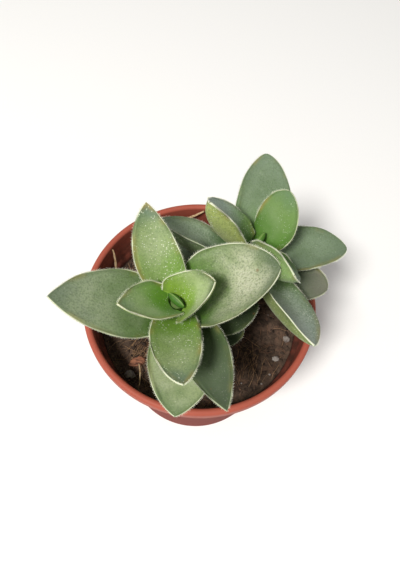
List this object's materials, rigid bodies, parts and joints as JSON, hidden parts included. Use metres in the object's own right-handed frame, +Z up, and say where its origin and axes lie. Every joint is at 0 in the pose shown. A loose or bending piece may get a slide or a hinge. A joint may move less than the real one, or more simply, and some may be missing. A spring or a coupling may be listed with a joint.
{
  "type": "potted crassula",
  "caption": "Young two-headed succulent with thick pointed leaves in crossed pairs, in soil in a round flat-based plastic nursery pot.",
  "frame": {"origin": "centre of the pot's flat base, on the surface it stands on", "axes": "+Z up; the front is the -Y side, towards the picture's camera, with +X to its right"},
  "size_m": [0.1126, 0.1129, 0.14],
  "materials": {
    "pot_plastic": "satin",
    "soil": "matte",
    "perlite": "matte",
    "bark": "matte",
    "dry_leaf": "matte",
    "stem": "matte",
    "bud": "satin",
    "leaf": "matte"
  },
  "bodies": {
    "root": {"pot": "pot_plastic", "potting_soil": "soil", "perlite_grain_1": "perlite", "perlite_grain_2": "perlite", "perlite_grain_3": "perlite", "bark_chip": "bark", "dry_shred_1": "dry_leaf", "dry_shred_2": "dry_leaf", "dry_shred_3": "dry_leaf", "tall_stem": "stem", "short_stem": "stem", "tall_bud": "bud", "short_bud": "bud", "tall_leaf_01": "leaf", "tall_leaf_02": "leaf", "tall_leaf_03": "leaf", "tall_leaf_04": "leaf", "tall_leaf_05": "leaf", "tall_leaf_06": "leaf", "tall_leaf_07": "leaf", "tall_leaf_08": "leaf", "tall_leaf_09": "leaf", "tall_leaf_10": "leaf", "tall_leaf_11": "leaf", "tall_leaf_12": "leaf", "short_leaf_01": "leaf", "short_leaf_02": "leaf", "short_leaf_03": "leaf", "short_leaf_04": "leaf", "short_leaf_05": "leaf", "short_leaf_06": "leaf", "short_leaf_07": "leaf", "short_leaf_08": "leaf", "short_leaf_09": "leaf"}
  },
  "joints": []
}
